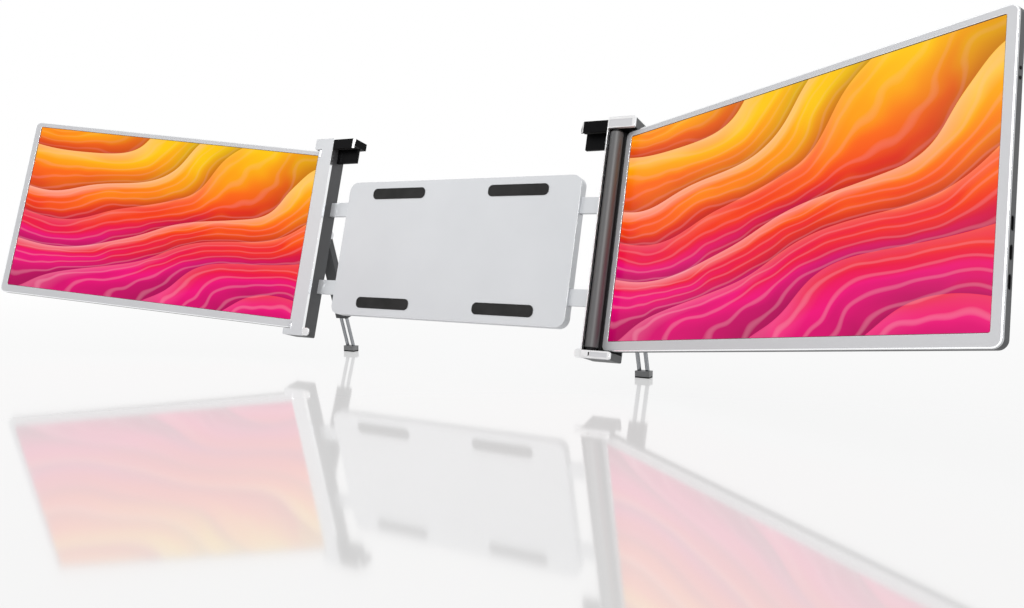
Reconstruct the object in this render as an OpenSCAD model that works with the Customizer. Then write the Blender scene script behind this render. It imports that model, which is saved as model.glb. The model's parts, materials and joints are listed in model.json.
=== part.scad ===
// Laptop screen extender: two side screens on sliding brackets, hung on a lid and propped by two rear legs.
//
// Lid frame, millimetres: x runs sideways from the middle, y runs back from the lid's rear face,
// z runs up from the lid's top edge. The whole frame then leans back by lid_tilt about the origin.
// Right-hand pieces are drawn at positive x, and left-hand pieces are drawn there too and mirrored.

/* [Lid] */
// Width of the lid that the brackets are set for
lid_width = 345.5; // [343.5:0.5:346]
// Thickness of the lid between the hooks and the rear pads
lid_thickness = 6.5; // [5.5:0.1:7]
// Lean of the lid from upright, in degrees
lid_tilt = 15; // [0:1:30]

/* [Screens] */
// Width of the lit picture
picture_w = 344.2; // [330:0.1:346]
// Height of the lit picture
picture_h = 193.6; // [188:0.1:194]
// Border beside the picture, at the hinge and at the outer edge
side_border = 7; // [6:0.1:8]
// Border above the picture
top_border = 5.3; // [4:0.1:6]
// Border below the picture
bottom_border = 8.9; // [8:0.1:10]
// Thickness of a screen
screen_t = 7.5; // [7.5:0.1:8]
// Radius of a screen's outer corners
screen_corner = 6; // [4:0.5:8]
// Swing of the left screen towards the user, in degrees
left_swing = 25; // [0:1:60]
// Swing of the right screen towards the user, in degrees
right_swing = 27.5; // [0:0.5:60]

/* [Brackets] */
// Height of the left top block
left_block_h = 12.5; // [12:0.1:14]
// Height of the right top block
right_block_h = 10.8; // [10.6:0.1:14]
// Reach of the top block from the lid's side
block_w = 27; // [26.5:0.5:29]
// Height of the bottom bar
bar_h = 7.1; // [6:0.1:9]
// Reach of the bottom bar from the lid's side
bar_w = 29; // [28.5:0.1:31]
// Thickness of the silver front frame
face_t = 3.5; // [3.4:0.1:3.6]
// Front of the left bracket ahead of the lid's front face
left_proud = 2.5; // [2.5:0.1:3]
// Front of the right bracket ahead of the left one, so that the right screen folds over the left
right_step = 6.5; // [6.5:0.1:7]
// Width of the flat strip that covers the left hinge edge
strip_w = 20.2; // [19:0.1:20.2]

/* [Hooks] */
// Width of a top hook
hook_w = 31; // [26:0.5:32]
// Height of a top hook
hook_h = 9.4; // [8:0.1:10]
// Width of a bottom hook
nub_w = 9.2; // [8:0.1:11]
// Height of a bottom hook, from just above the bar's bottom edge
nub_h = 8.6; // [7:0.1:9]

/* [Centre body] */
// Width of the centre body
centre_w = 290; // [270:1:292]
// Height of the centre body
centre_h = 150; // [140:1:160]
// Width of a rail
rail_h = 16; // [12:1:18]
// Length of a rail inside the centre body
rail_in = 130; // [110:1:132]

/* [Legs] */
// Angle between a leg and its bracket, in degrees
leg_angle = 33; // [15:0.5:55]
// Length of a leg from its pivot to the middle of its foot pad
leg_length = 149; // [140:0.1:155]
// Length of a leg's housing below the pivot
leg_housing_l = 104; // [95:1:106]
// Distance between the two rods of a leg
rod_gap = 8.7; // [8:0.1:10]

/* [Hidden] */
$fn = 64;
tiny = 0.01;

SILVER = [0.86, 0.87, 0.89];
DARK_GREY = [0.38, 0.39, 0.4];
BLACK = [0.06, 0.06, 0.065];
STEEL = [0.62, 0.63, 0.65];

// Screen body: x from the hinge edge, y back from the front face, z up from the bottom edge
screen_w = picture_w + 2 * side_border;
screen_h = picture_h + top_border + bottom_border;
lip_t = 0.6;                        // front lip of the bezel over the glass
glass_t = 1;
backlight_t = 1.4;
rim_t = 2.2;                        // depth of the bezel
picture_corner = 1.5;
glass_margin = 2.9;                 // how far the glass runs under the bezel's lip
shell_wall = 1.6;
shell_floor = 1.2;
port_mid = 56;                      // height of the middle socket
port_pitch = 17.2;
port_w = 8.9;
port_h = 3;
port_l = 7.4;
port_y = 4.65;                      // depth of the sockets' centre line
port_wall = 0.3;
port_floor = 0.9;
port_gap = 0.15;                    // between a socket and its opening
tongue_w = 6;
tongue_t = 0.7;
button_z = [161.3, 167.5];          // heights of the power and the menu button
button_r = 1.1;
button_proud = 0.4;
button_in = 2.3;                    // how far a button's stem goes into the screen
button_tab_y = 1.2;                 // half depth and half height of the tab that keeps a button in
button_tab_z = 2.2;
button_y = 4.65;
board_edge = screen_w - 7.7;

// Side bracket
side_in = lid_width / 2 + 0.2;      // inner side of a bracket
block_out = side_in + block_w;
bar_out = side_in + bar_w;
outline_corner = 1.5;
screen_top = -2.1;
screen_bottom = screen_top - screen_h;
block_z = screen_top + 0.7;         // underside of the top block
bar_z = screen_bottom - 1;          // top of the bottom bar
bar_bottom = bar_z - bar_h;
hook_pad_t = 1.2;
hook_lip_t = 1.5;
hook_lip_end = -2;
cover_foot_h = 11.5;                // height of a rear cover's lower end, which rises behind the bar
lid_front = -lid_thickness;
lid_gap = 0.2;                      // between the lid's front face and the hooks
left_face = lid_front - left_proud;
right_face = left_face - right_step;
housing_back = 10.5;
cover_t = 2;
bracket_back = housing_back + cover_t;
left_spine_out = side_in + 11.3;
right_spine_out = side_in + 6.8;
right_cover_out = side_in + 16.3;
wall_t = 2;
right_wall_t = 1;                   // wall between the lid and the hinge tube
strip_t = 2;
cover_screw_r = 0.8;
cover_head_r = 1.7;
cover_head_h = 0.8;
cover_screw_l = 8;
mount_screw_l = 9;
cover_hole_end = 3.4;
cut_end = 20;                       // far end of the holes along y
seat_rim = 1;                       // a rail seat's height above and below its rail
mount_h = 24;
mount_t = 1.5;
ear_t = 2;
ear_out = 9.8;                      // from the leg's middle to the middle of an ear
ear_h = 5;

cover_spots = [
    [side_in + 4, block_z + 6], [block_out - 4, block_z + 6],
    [side_in + 4, bar_bottom + 3.5], [bar_out - 4, bar_bottom + 3.5]
];

// Hinge axes in the lid frame, and each screen's place from its own axis
left_axis = [192.25, -6.8];
right_axis = [180.55, -9];
left_edge = -3.6;                   // hinge edge of the screen along its width
right_edge = 3.4;
left_back_set = 2.8;                // display face behind the axis
right_back_set = 9;
left_pin_r = 1;
right_pin_r = 2.4;
pin_play = 0.05;
knuckle_r = 2.2;
knuckle_spans = [[screen_bottom + 0.4, screen_bottom + 5.4], [screen_top - 8.4, screen_top - 0.4]];
tube_r = 6.2;
left_leaf_t = 1.3;
right_leaf_t = 2.5;
leaf_screw_z = [14, 64, 144, 194];
leaf_screw_y = 4.8;
leaf_screw_r = 0.8;
leaf_screw_in = 4.5;                // how far a screw goes into the screen's edge
leaf_head_r = 1.6;
leaf_head_t = 0.9;
leaf_front = 0.9;                   // front of the left leaf behind its axis
leaf_gap = 0.4;                     // between a leaf's ends and the screen's edges
collar_r = 5;
collar_t = 2.1;
pin_in_bar = 4.5;                   // how far a hinge pin goes into the bottom bar
pin_in_block = 8.5;                 // how far it goes into the top block
pin_in_tube = 30;
pin_room = 0.5;                     // at the ends of the pins' holes

// Centre body and rails
centre_corner = 10;
centre_top = -40;
centre_bottom = centre_top - centre_h;
pad_t = 0.8;
pad_w = 70;
pad_h = 12;
pad_corner = 5;
pad_x = [-75, 75];
pad_z = [-54, -176];
panel_t = 1.5;
panel_back = pad_t + panel_t;
centre_back = 12;
centre_floor = 1.6;
centre_wall = 1.8;
rail_t = 4;
rail_y = 4.5;
rail_z = [-70, -160];               // mid heights of the upper and the lower rail
rail_start = side_in - 26.7 - rail_in;
rail_stop_in = 8;                   // stop hole's distance from a rail's inner end
rail_stop_r = 2.5;
rail_play = 0.2;                    // in the guides
rail_slot_gap = 0.3;                // in the covers' slots
rail_screw_in = 3;                  // screws' distance from a rail's outer end
rail_screw_dz = [-4.5, 4.5];
rail_screw_r = 1.2;
rail_head_r = 2.2;
rail_head_h = 1.4;
rail_screw_l = 9.5;
guide_in = 104;
guide_out = 142;
guide_wall = 3;
spring_r = 56;
spring_t = 0.3;
spring_w = 6;
spring_l = 19;
spring_room = [22, 7];              // length and width of a spring's pocket
boss_r = 3.5;
boss_hole_r = 1.3;
boss_screw_r = 1.2;
boss_head_r = 2.5;
boss_head_h = 1.1;
boss_screw_l = 8.6;
boss_spots = [[-128, -50], [0, -50], [128, -50], [-128, -180], [0, -180], [128, -180]];

// Legs
leg_x = 190.9;
pivot_y = 18.5;
pivot_z = -96;
mount_spots = [[side_in + 4, pivot_z - 8], [side_in + 4, pivot_z + 8]];
leg_pin_r = 1.5;
leg_w = 17;
leg_t = 8;
rod_r = 2;
rod_play = 0.1;
rod_top = 60;
rod_bore_top = 22;
rod_bottom = leg_length - 3;
foot_h = 5.5;
foot_w = 15.3;
foot_d = 9.5;
foot_pad_t = 1.5;
foot_slope = leg_angle - lid_tilt;  // leg's lean from upright, which the foot's sole takes out
foot_y = -(foot_pad_t + foot_h / 2) * tan(foot_slope);

// ---- Placing ----

// Leans the lid frame back
module lean() rotate([-lid_tilt, 0, 0]) children();

module on_right() lean() children();

module on_left() lean() mirror([1, 0, 0]) children();

// Screen frames: origin at the bottom corner of the hinge edge, on the front face
module at_left_axis() on_left()
    translate([left_axis[0], left_axis[1], 0]) rotate([0, 0, -left_swing]) children();

module at_right_axis() on_right()
    translate([right_axis[0], right_axis[1], 0]) rotate([0, 0, -right_swing]) children();

module on_left_screen() at_left_axis() translate([left_edge, left_back_set, screen_bottom]) children();

module on_right_screen() at_right_axis() translate([right_edge, right_back_set, screen_bottom]) children();

// Leg frame: origin at the pivot, leg along -z, y towards the back
module at_leg() translate([leg_x, pivot_y, pivot_z]) rotate([leg_angle, 0, 0]) children();

// ---- Shapes ----

// Block between two corners
module slab(low, high) translate(low) cube(high - low);

// Flat plate in x and z, from y = back - t to y = back
module upright(back, t) translate([0, back, 0]) rotate([90, 0, 0]) linear_extrude(t) children();

// Rectangle with round corners, from its lower left corner
module round_rect(w, h, r) {
    translate([r, 0]) square([w - 2 * r, h]);
    translate([0, r]) square([w, h - 2 * r]);
    for (x = [r, w - r], y = [r, h - r]) translate([x, y]) circle(r);
}

// Slot with half-round ends, centred
module stadium(w, h) {
    square([w - h, h], center = true);
    for (x = [-(w - h) / 2, (w - h) / 2]) translate([x, 0]) circle(h / 2);
}

// Round bar along y, from y = low to y = high
module bar_y(r, low, high) translate([0, high, 0]) rotate([90, 0, 0]) cylinder(r = r, h = high - low);

// Round bar along x, from x = low to x = high
module bar_x(r, low, high) translate([low, 0, 0]) rotate([0, 90, 0]) cylinder(r = r, h = high - low);

// Round bar along z, from z = low to z = high
module bar_z(r, low, high) translate([0, 0, low]) cylinder(r = r, h = high - low);

// Flat-head screw along y: its head ends at y = back, its shank runs forward
module flat_screw(back, head_r, head_h, shank_r, shank_l) difference() {
    cross_reach = head_r * 0.6;
    cross_w = 0.5;
    cross_depth = 0.5;
    union() {
        bar_y(head_r, back - head_h, back);
        bar_y(shank_r, back - head_h - shank_l, back - head_h);
    }
    for (turn = [0, 90]) rotate([0, turn, 0])
        slab([-cross_reach, back - cross_depth, -cross_w / 2], [cross_reach, back + 1, cross_w / 2]);
}

// ---- Centre body ----

module centre_outline(inset) translate([-centre_w / 2 + inset, centre_bottom + inset])
    round_rect(centre_w - 2 * inset, centre_h - 2 * inset, centre_corner - inset);

module at_bosses() for (p = boss_spots) translate([p[0], 0, p[1]]) children();

module centre_front_panel() color(SILVER) difference() {
    upright(panel_back, panel_t) centre_outline(0);
    at_bosses() bar_y(boss_hole_r, panel_back - 0.9, panel_back + 1);
}

module centre_rear_cover() color(SILVER) difference() {
    union() {
        difference() {
            upright(centre_back, centre_back - panel_back) centre_outline(0);
            upright(centre_back - centre_floor, centre_back - centre_floor - panel_back + 1)
                centre_outline(centre_wall);
        }
        at_bosses() bar_y(boss_r, panel_back, centre_back - 1);
    }
    at_bosses() {
        bar_y(boss_hole_r, 0, centre_back + 1);
        bar_y(boss_head_r + 0.1, centre_back - boss_head_h - 0.1, centre_back + 1);
    }
    for (z = rail_z) slab(
        [-centre_w / 2 - 1, rail_y - rail_slot_gap, z - rail_h / 2 - rail_slot_gap],
        [centre_w / 2 + 1, rail_y + rail_t + rail_slot_gap, z + rail_h / 2 + rail_slot_gap]);
}

module lid_pads() color(BLACK)
    for (x = pad_x, z = pad_z)
        upright(pad_t, pad_t) translate([x - pad_w / 2, z - pad_h / 2]) round_rect(pad_w, pad_h, pad_corner);

module rail_guides() color(BLACK)
    for (s = [-1, 1], z = rail_z) {
        low = s > 0 ? guide_in : -guide_out;
        high = s > 0 ? guide_out : -guide_in;
        guide_back = centre_back - centre_floor;
        difference() {
            slab([low, panel_back, z - rail_h / 2 - guide_wall],
                 [high, guide_back, z + rail_h / 2 + guide_wall]);
            slab([low - 1, rail_y - rail_play, z - rail_h / 2 - rail_play],
                 [high + 1, rail_y + rail_t + rail_play, z + rail_h / 2 + rail_play]);
            translate([(low + high) / 2, 0, z]) slab(
                [-spring_room[0] / 2, rail_y + rail_t, -spring_room[1] / 2],
                [spring_room[0] / 2, guide_back - 0.6, spring_room[1] / 2]);
        }
    }

// Bowed leaf spring in each guide, its belly just off the rail
module rail_springs() color(STEEL)
    for (s = [-1, 1], z = rail_z)
        translate([s * (guide_in + guide_out) / 2, rail_y + rail_t + 0.1, z]) intersection() {
            translate([0, spring_r, 0]) difference() {
                cylinder(r = spring_r, h = spring_w, center = true, $fn = 128);
                cylinder(r = spring_r - spring_t, h = spring_w + 1, center = true, $fn = 128);
            }
            slab([-spring_l / 2, -1, -spring_w], [spring_l / 2, 1.2, spring_w]);
        }

module centre_screws() color(STEEL)
    at_bosses() flat_screw(centre_back - 0.1, boss_head_r, boss_head_h, boss_screw_r, boss_screw_l);

// ---- Side bracket ----

module rail(z, out) color(SILVER) difference() {
    slab([rail_start, rail_y, z - rail_h / 2], [out - 0.1, rail_y + rail_t, z + rail_h / 2]);
    for (dz = rail_screw_dz) translate([out - rail_screw_in, 0, z + dz]) bar_y(rail_screw_r, 0, cut_end);
    translate([rail_start + rail_stop_in, 0, z]) bar_y(rail_stop_r, 0, cut_end);
}

// Outline of the top block and the bottom bar
module block_outline(h) translate([side_in, block_z]) round_rect(block_w, h, outline_corner);

module bar_outline(h = bar_h) translate([side_in, bar_bottom]) round_rect(bar_w, h, outline_corner);

// Outline of the wall beside the lid, which joins the block and the bar
module inner_wall(t = wall_t) translate([side_in, bar_z - 2]) square([t, block_z - bar_z + 4]);

// Silver C-shaped front of the left bracket, with the strip over the hinge edge
module left_front_frame() color(SILVER) difference() {
    union() {
        upright(left_face + face_t, face_t) {
            block_outline(left_block_h);
            bar_outline();
            inner_wall();
        }
        upright(left_face + strip_t, strip_t) translate([side_in, bar_z - tiny])
            square([strip_w, block_z - bar_z + 2 * tiny]);
    }
    // room for the hinge knuckles in the strip's outer corners
    notch_x = left_axis[0] - knuckle_r - 0.4;
    slab([notch_x, -20, knuckle_spans[1][0] - 0.7], [notch_x + 20, 5, block_z]);
    slab([notch_x, -20, bar_z], [notch_x + 20, 5, knuckle_spans[0][1] + 0.7]);
    translate([left_axis[0], left_axis[1], 0]) pin_holes(left_pin_r);
}

// Holes of a hinge's two pins in the block and the bar
module pin_holes(r) {
    bar_z(r + pin_play, block_z - 1, block_z + pin_in_block + pin_room);
    bar_z(r + pin_play, bar_z - pin_in_bar - pin_room, bar_z + 1);
}

// Silver caps of the right bracket, joined by a thin wall beside the lid
module right_front_frame() color(SILVER)
    upright(right_face + face_t, face_t) {
        block_outline(right_block_h);
        bar_outline();
        inner_wall(right_wall_t);
    }

// Holes that the rails and their screws need in a housing
module rail_holes(spine_out) {
    for (z = rail_z) {
        slab([side_in - 1, rail_y, z - rail_h / 2], [spine_out, rail_y + rail_t, z + rail_h / 2]);
        for (dz = rail_screw_dz) translate([spine_out - rail_screw_in, 0, z + dz]) {
            bar_y(rail_screw_r, rail_y + rail_t - rail_screw_l - 0.1, cut_end);
            bar_y(rail_head_r + 0.3, rail_y + rail_t, cut_end);
        }
    }
}

// Holes for the screws that hold the rear cover and the leg mount on
module cover_holes(r)
    for (p = concat(cover_spots, mount_spots)) translate([p[0], 0, p[1]]) bar_y(r, cover_hole_end, cut_end);

module left_side_housing() color(DARK_GREY) difference() {
    union() {
        upright(housing_back, housing_back - left_face - face_t) {
            block_outline(left_block_h);
            bar_outline();
            inner_wall();
            translate([left_spine_out - wall_t, bar_z - 1]) square([wall_t, block_z - bar_z + 2]);
        }
        slab([side_in + wall_t, left_face + strip_t, bar_z],
             [left_spine_out, left_face + face_t + 1, block_z]);
        // seats of the rails and of the leg mount's screws
        for (z = rail_z) slab(
            [side_in, left_face + face_t, z - rail_h / 2 - seat_rim],
            [left_spine_out, rail_y, z + rail_h / 2 + seat_rim]);
        slab([side_in, left_face + face_t, pivot_z - mount_h / 2],
             [left_spine_out, housing_back, pivot_z + mount_h / 2]);
    }
    rail_holes(left_spine_out - wall_t);
    cover_holes(cover_screw_r);
}

module right_side_housing() color(DARK_GREY) difference() {
    union() {
        upright(housing_back, housing_back - right_face - face_t) {
            block_outline(right_block_h);
            bar_outline();
            inner_wall(right_wall_t);
        }
        slab([side_in, -2, bar_z - 1], [right_spine_out, housing_back, block_z + 1]);
    }
    rail_holes(right_spine_out - 1);
    cover_holes(cover_screw_r);
    translate([right_axis[0], right_axis[1], 0]) pin_holes(right_pin_r);
}

module rear_cover(spine_out, block_h) color(DARK_GREY) difference() {
    upright(bracket_back, cover_t) {
        block_outline(block_h);
        bar_outline(cover_foot_h);
        translate([side_in, bar_z - 2]) square([spine_out - side_in, block_z - bar_z + 4]);
    }
    for (p = cover_spots) translate([p[0], 0, p[1]])
        bar_y(cover_head_r + 0.1, bracket_back - cover_head_h - 0.1, cut_end);
    cover_holes(cover_screw_r);
}

// Black hook over the lid's top edge, with a short lip in front and a tongue behind
module top_hook() color(BLACK) {
    tongue_front = 1;
    tongue_back = 5;
    tongue_end = -16;
    slab([side_in - hook_w, left_face, hook_pad_t], [side_in, bracket_back, hook_h]);
    slab([side_in - hook_w, left_face, hook_lip_end], [side_in, left_face + hook_lip_t, hook_pad_t + tiny]);
    slab([side_in - hook_w + 2, tongue_front, tongue_end], [side_in, tongue_back, hook_pad_t + tiny]);
}

module hook_pad() color(BLACK) {
    slab([side_in - hook_w, left_face + hook_lip_t, 0], [side_in, 0.8, hook_pad_t]);
    slab([side_in - hook_w, left_face + hook_lip_t, hook_lip_end], [side_in, lid_front - lid_gap, tiny]);
}

// Silver lip in front of the lid's lower corner
module bottom_hook() color(SILVER) {
    end_r = 3;
    upright(lid_front - lid_gap, lid_front - lid_gap - left_face)
        translate([side_in - nub_w, bar_bottom + 0.3]) {
            translate([end_r, 0]) square([nub_w - end_r, nub_h]);
            translate([0, end_r]) square([nub_w, nub_h - 2 * end_r]);
            for (z = [end_r, nub_h - end_r]) translate([end_r, z]) circle(end_r);
        }
}

// Rail screws, cover screws and the two screws of the leg mount
module bracket_screws(spine_out) color(STEEL) {
    for (z = rail_z, dz = rail_screw_dz) translate([spine_out - rail_screw_in, 0, z + dz])
        flat_screw(rail_y + rail_t + rail_head_h, rail_head_r, rail_head_h, rail_screw_r, rail_screw_l);
    for (p = cover_spots) translate([p[0], 0, p[1]])
        flat_screw(bracket_back - 0.1, cover_head_r, cover_head_h, cover_screw_r, cover_screw_l);
    for (p = mount_spots) translate([p[0], 0, p[1]])
        flat_screw(bracket_back + mount_t - 0.1, cover_head_r, cover_head_h, cover_screw_r, mount_screw_l);
}

// Steel plate with two ears that carry the leg's pivot pin
module leg_mount() color(STEEL) difference() {
    plate_in = side_in + 1.3;
    union() {
        slab([plate_in, bracket_back, pivot_z - mount_h / 2],
             [leg_x + ear_out + ear_t / 2, bracket_back + mount_t, pivot_z + mount_h / 2]);
        for (s = [-1, 1]) translate([leg_x + s * ear_out, 0, 0]) {
            slab([-ear_t / 2, bracket_back, pivot_z - ear_h], [ear_t / 2, pivot_y, pivot_z + ear_h]);
            translate([0, pivot_y, pivot_z]) bar_x(ear_h, -ear_t / 2, ear_t / 2);
        }
    }
    translate([0, pivot_y, pivot_z]) bar_x(leg_pin_r, leg_x - leg_w, leg_x + leg_w);
    for (p = mount_spots) translate([p[0], 0, p[1]]) {
        bar_y(cover_screw_r, 0, cut_end);
        bar_y(cover_head_r, bracket_back + mount_t - cover_head_h - 0.1, cut_end);
    }
}

module leg_pin() color(STEEL) translate([0, pivot_y, pivot_z])
    bar_x(leg_pin_r, leg_x - ear_out - ear_t / 2, leg_x + ear_out + ear_t / 2);

// ---- Screen ----

module screen_outline() round_rect(screen_w, screen_h, screen_corner);

// Glass outline, grown by a gap
module glass_outline(gap) translate([side_border - glass_margin - gap, bottom_border - glass_margin - gap])
    square([picture_w + 2 * (glass_margin + gap), picture_h + 2 * (glass_margin + gap)]);

module bezel() color(SILVER) difference() {
    upright(rim_t, rim_t) screen_outline();
    upright(rim_t + 1, rim_t + 1 - lip_t) glass_outline(0.1);
    upright(rim_t + 1, rim_t + 2) translate([side_border, bottom_border])
        round_rect(picture_w, picture_h, picture_corner);
}

module display() color([0.9, 0.35, 0.25]) upright(lip_t + glass_t, glass_t) glass_outline(0);

module backlight() color([0.93, 0.93, 0.9])
    upright(lip_t + glass_t + backlight_t, backlight_t) glass_outline(0);

// Slot through the outer wall, at a socket's height
module port_slot(z, w, h, low, high) translate([low, port_y, z]) rotate([0, 90, 0])
    linear_extrude(high - low) stadium(w, h);

module rear_shell() color(DARK_GREY) difference() {
    // blocks inside the hinge edge that take the leaf's screws
    post_out = 6;
    post_front = 3.2;
    post_half_h = 3;
    inner_corner = screen_corner - shell_wall;
    union() {
        difference() {
            upright(screen_t, screen_t - rim_t) screen_outline();
            upright(screen_t - shell_floor, screen_t - shell_floor - rim_t + 1)
                translate([shell_wall, shell_wall])
                    round_rect(screen_w - 2 * shell_wall, screen_h - 2 * shell_wall, inner_corner);
        }
        for (z = leaf_screw_z)
            slab([1, post_front, z - post_half_h], [post_out, screen_t - 1, z + post_half_h]);
    }
    for (i = [-1, 0, 1]) port_slot(
        port_mid + i * port_pitch, port_w + 2 * port_gap, port_h + 2 * port_gap, screen_w - 5, screen_w + 5);
    for (z = button_z) translate([0, button_y, z]) bar_x(button_r + 0.1, screen_w - 5, screen_w + 5);
    for (z = leaf_screw_z) translate([0, leaf_screw_y, z]) bar_x(leaf_screw_r, -1, leaf_screw_in);
}

// Socket shells: hollow, with a tongue inside
module ports() color(STEEL)
    for (i = [-1, 0, 1]) translate([0, 0, port_mid + i * port_pitch]) {
        difference() {
            port_slot(0, port_w, port_h, board_edge, board_edge + port_l);
            port_slot(0, port_w - 2 * port_wall, port_h - 2 * port_wall, board_edge + port_floor, screen_w);
        }
        slab([board_edge + port_floor - tiny, port_y - tongue_t / 2, -tongue_w / 2],
             [screen_w - 1.4, port_y + tongue_t / 2, tongue_w / 2]);
    }

// Main board beside the sockets, with a narrow arm that carries the button switches
module driver_board() {
    board_y = lip_t + glass_t + backlight_t;
    board_t = 0.8;
    board_top = board_y + board_t;
    board_low = 20;
    board_high = 98;
    board_w = 92;
    arm_high = 172;
    arm_w = 9;
    switch_out = 4.2;
    switch_half_h = 2;
    // each chip: distance from the board's outer edge, height of its bottom edge, width, height, thickness
    chips = [[60, 48, 16, 16, 1.2], [30, 70, 10, 10, 1], [82, 30, 8, 8, 2]];
    color([0.05, 0.3, 0.16]) {
        slab([board_edge - board_w, board_y, board_low], [board_edge, board_top, board_high]);
        slab([board_edge - arm_w, board_y, board_high - tiny], [board_edge, board_top, arm_high]);
    }
    color(BLACK) {
        for (c = chips)
            translate([board_edge - c[0], board_top, c[1]]) cube([c[2], c[4], c[3]]);
        for (z = button_z)
            slab([board_edge - 2, board_top, z - switch_half_h],
                 [board_edge + switch_out, button_y + button_tab_y, z + switch_half_h]);
    }
}

module side_button(z) color(BLACK) translate([0, button_y, z]) {
    bar_x(button_r, screen_w - button_in, screen_w + button_proud);
    slab([screen_w - button_in - 0.5, -button_tab_y, -button_tab_z],
         [screen_w - button_in + 0.4, button_tab_y, button_tab_z]);
}

// Countersunk holes in a hinge leaf
module leaf_holes(edge, back_set, leaf_t)
    for (z = leaf_screw_z) translate([edge, back_set + leaf_screw_y, screen_bottom + z]) {
        bar_x(leaf_screw_r, -5, 1);
        bar_x(leaf_head_r, -5, leaf_head_t - leaf_t);
    }

// Steel strip on the left screen's hinge edge, with a knuckle at each end
module left_hinge_leaf() color(STEEL) difference() {
    union() {
        slab([left_edge - left_leaf_t, leaf_front, screen_bottom + leaf_gap],
             [left_edge, left_back_set + screen_t, screen_top - leaf_gap]);
        for (span = knuckle_spans) {
            slab([left_edge - left_leaf_t, leaf_front, span[0]], [0, left_back_set - 0.1, span[1]]);
            bar_z(knuckle_r, span[0], span[1]);
        }
    }
    bar_z(left_pin_r, screen_bottom - 1, screen_top + 1);
    leaf_holes(left_edge, left_back_set, left_leaf_t);
}

module left_hinge_pins() color(STEEL) {
    bar_z(left_pin_r, bar_z - pin_in_bar, knuckle_spans[0][1]);
    bar_z(left_pin_r, knuckle_spans[1][0], block_z + pin_in_block);
}

// Wall that joins the right screen's hinge edge to the tube in front of it
module right_hinge_leaf() color(DARK_GREY) difference() {
    slab([right_edge - right_leaf_t, tube_r / 2, screen_bottom + leaf_gap],
         [right_edge, right_back_set + screen_t, screen_top - leaf_gap]);
    bar_z(tube_r, screen_bottom - 1, screen_top + 1);
    leaf_holes(right_edge, right_back_set, right_leaf_t);
}

module right_hinge_tube() color(BLACK) difference() {
    bar_z(tube_r, screen_bottom + collar_t - 0.2, screen_top - collar_t - 0.2);
    bar_z(right_pin_r, screen_bottom - 1, screen_top + 1);
}

// Shouldered pins, one in each end of the tube
module right_hinge_pins() color(STEEL) {
    bar_z(right_pin_r, screen_top - pin_in_tube, block_z + pin_in_block);
    bar_z(collar_r, screen_top - collar_t - 0.2, screen_top - 0.2);
    bar_z(right_pin_r, bar_z - pin_in_bar, screen_bottom + pin_in_tube);
    bar_z(collar_r, screen_bottom - 0.2, screen_bottom + collar_t - 0.2);
}

// Screws through the hinge leaf into the screen's edge, in the screen frame
module screen_screws(leaf_t) color(STEEL)
    for (z = leaf_screw_z) translate([0, leaf_screw_y, z]) {
        bar_x(leaf_head_r, 0.05 - leaf_t, leaf_head_t - leaf_t);
        bar_x(leaf_screw_r, leaf_head_t - leaf_t - tiny, leaf_screw_in);
    }

// ---- Leg ----

module leg_housing() color(DARK_GREY) at_leg() difference() {
    union() {
        slab([-leg_w / 2, -leg_t / 2, -leg_housing_l], [leg_w / 2, leg_t / 2, 0]);
        bar_x(leg_t / 2, -leg_w / 2, leg_w / 2);
    }
    bar_x(leg_pin_r + pin_play, -leg_w, leg_w);
    at_rods() bar_z(rod_r + rod_play, -leg_housing_l - 1, -rod_bore_top);
}

module at_rods() for (x = [-rod_gap / 2, rod_gap / 2]) translate([x, 0, 0]) children();

module leg_rods() color(STEEL) at_leg() at_rods() bar_z(rod_r, -rod_bottom, -rod_top);

// Slice of the foot between two heights above its sole, which is level when the leg is set
module foot_slice(low, high) translate([0, 0, -leg_length]) rotate([-foot_slope, 0, 0])
    slab([-foot_w / 2, foot_y - foot_d / 2, low], [foot_w / 2, foot_y + foot_d / 2, high]);

module leg_foot() color(DARK_GREY) at_leg() difference() {
    foot_slice(foot_pad_t, foot_pad_t + foot_h);
    at_rods() bar_z(rod_r, -rod_bottom, -leg_length / 2);
}

module foot_pad() color(BLACK) at_leg() foot_slice(0, foot_pad_t);

// ---- Parts ----

lean() centre_front_panel();
lean() centre_rear_cover();
lean() lid_pads();
lean() rail_guides();
lean() rail_springs();
lean() centre_screws();

on_left() rail(rail_z[0], left_spine_out - wall_t);  // left_upper_rail
on_left() rail(rail_z[1], left_spine_out - wall_t);  // left_lower_rail
on_left() left_front_frame();
on_left() left_side_housing();
on_left() rear_cover(left_spine_out, left_block_h);  // left_rear_cover
on_left() top_hook();  // left_top_hook
on_left() hook_pad();  // left_hook_pad
on_left() bottom_hook();  // left_bottom_hook
on_left() bracket_screws(left_spine_out - wall_t);  // left_bracket_screws
on_left() leg_mount();  // left_leg_mount
on_left() leg_pin();  // left_leg_pin
on_left_screen() bezel();  // left_bezel
on_left_screen() display();  // left_display
on_left_screen() backlight();  // left_backlight
on_left_screen() driver_board();  // left_driver_board
on_left_screen() ports();  // left_ports
on_left_screen() rear_shell();  // left_rear_shell
at_left_axis() left_hinge_leaf();
at_left_axis() left_hinge_pins();
on_left_screen() screen_screws(left_leaf_t);  // left_screen_screws
on_left_screen() side_button(button_z[0]);  // left_power_button
on_left_screen() side_button(button_z[1]);  // left_menu_button
on_left() leg_housing();  // left_leg_housing
on_left() leg_rods();  // left_leg_rods
on_left() leg_foot();  // left_leg_foot
on_left() foot_pad();  // left_foot_pad

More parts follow.
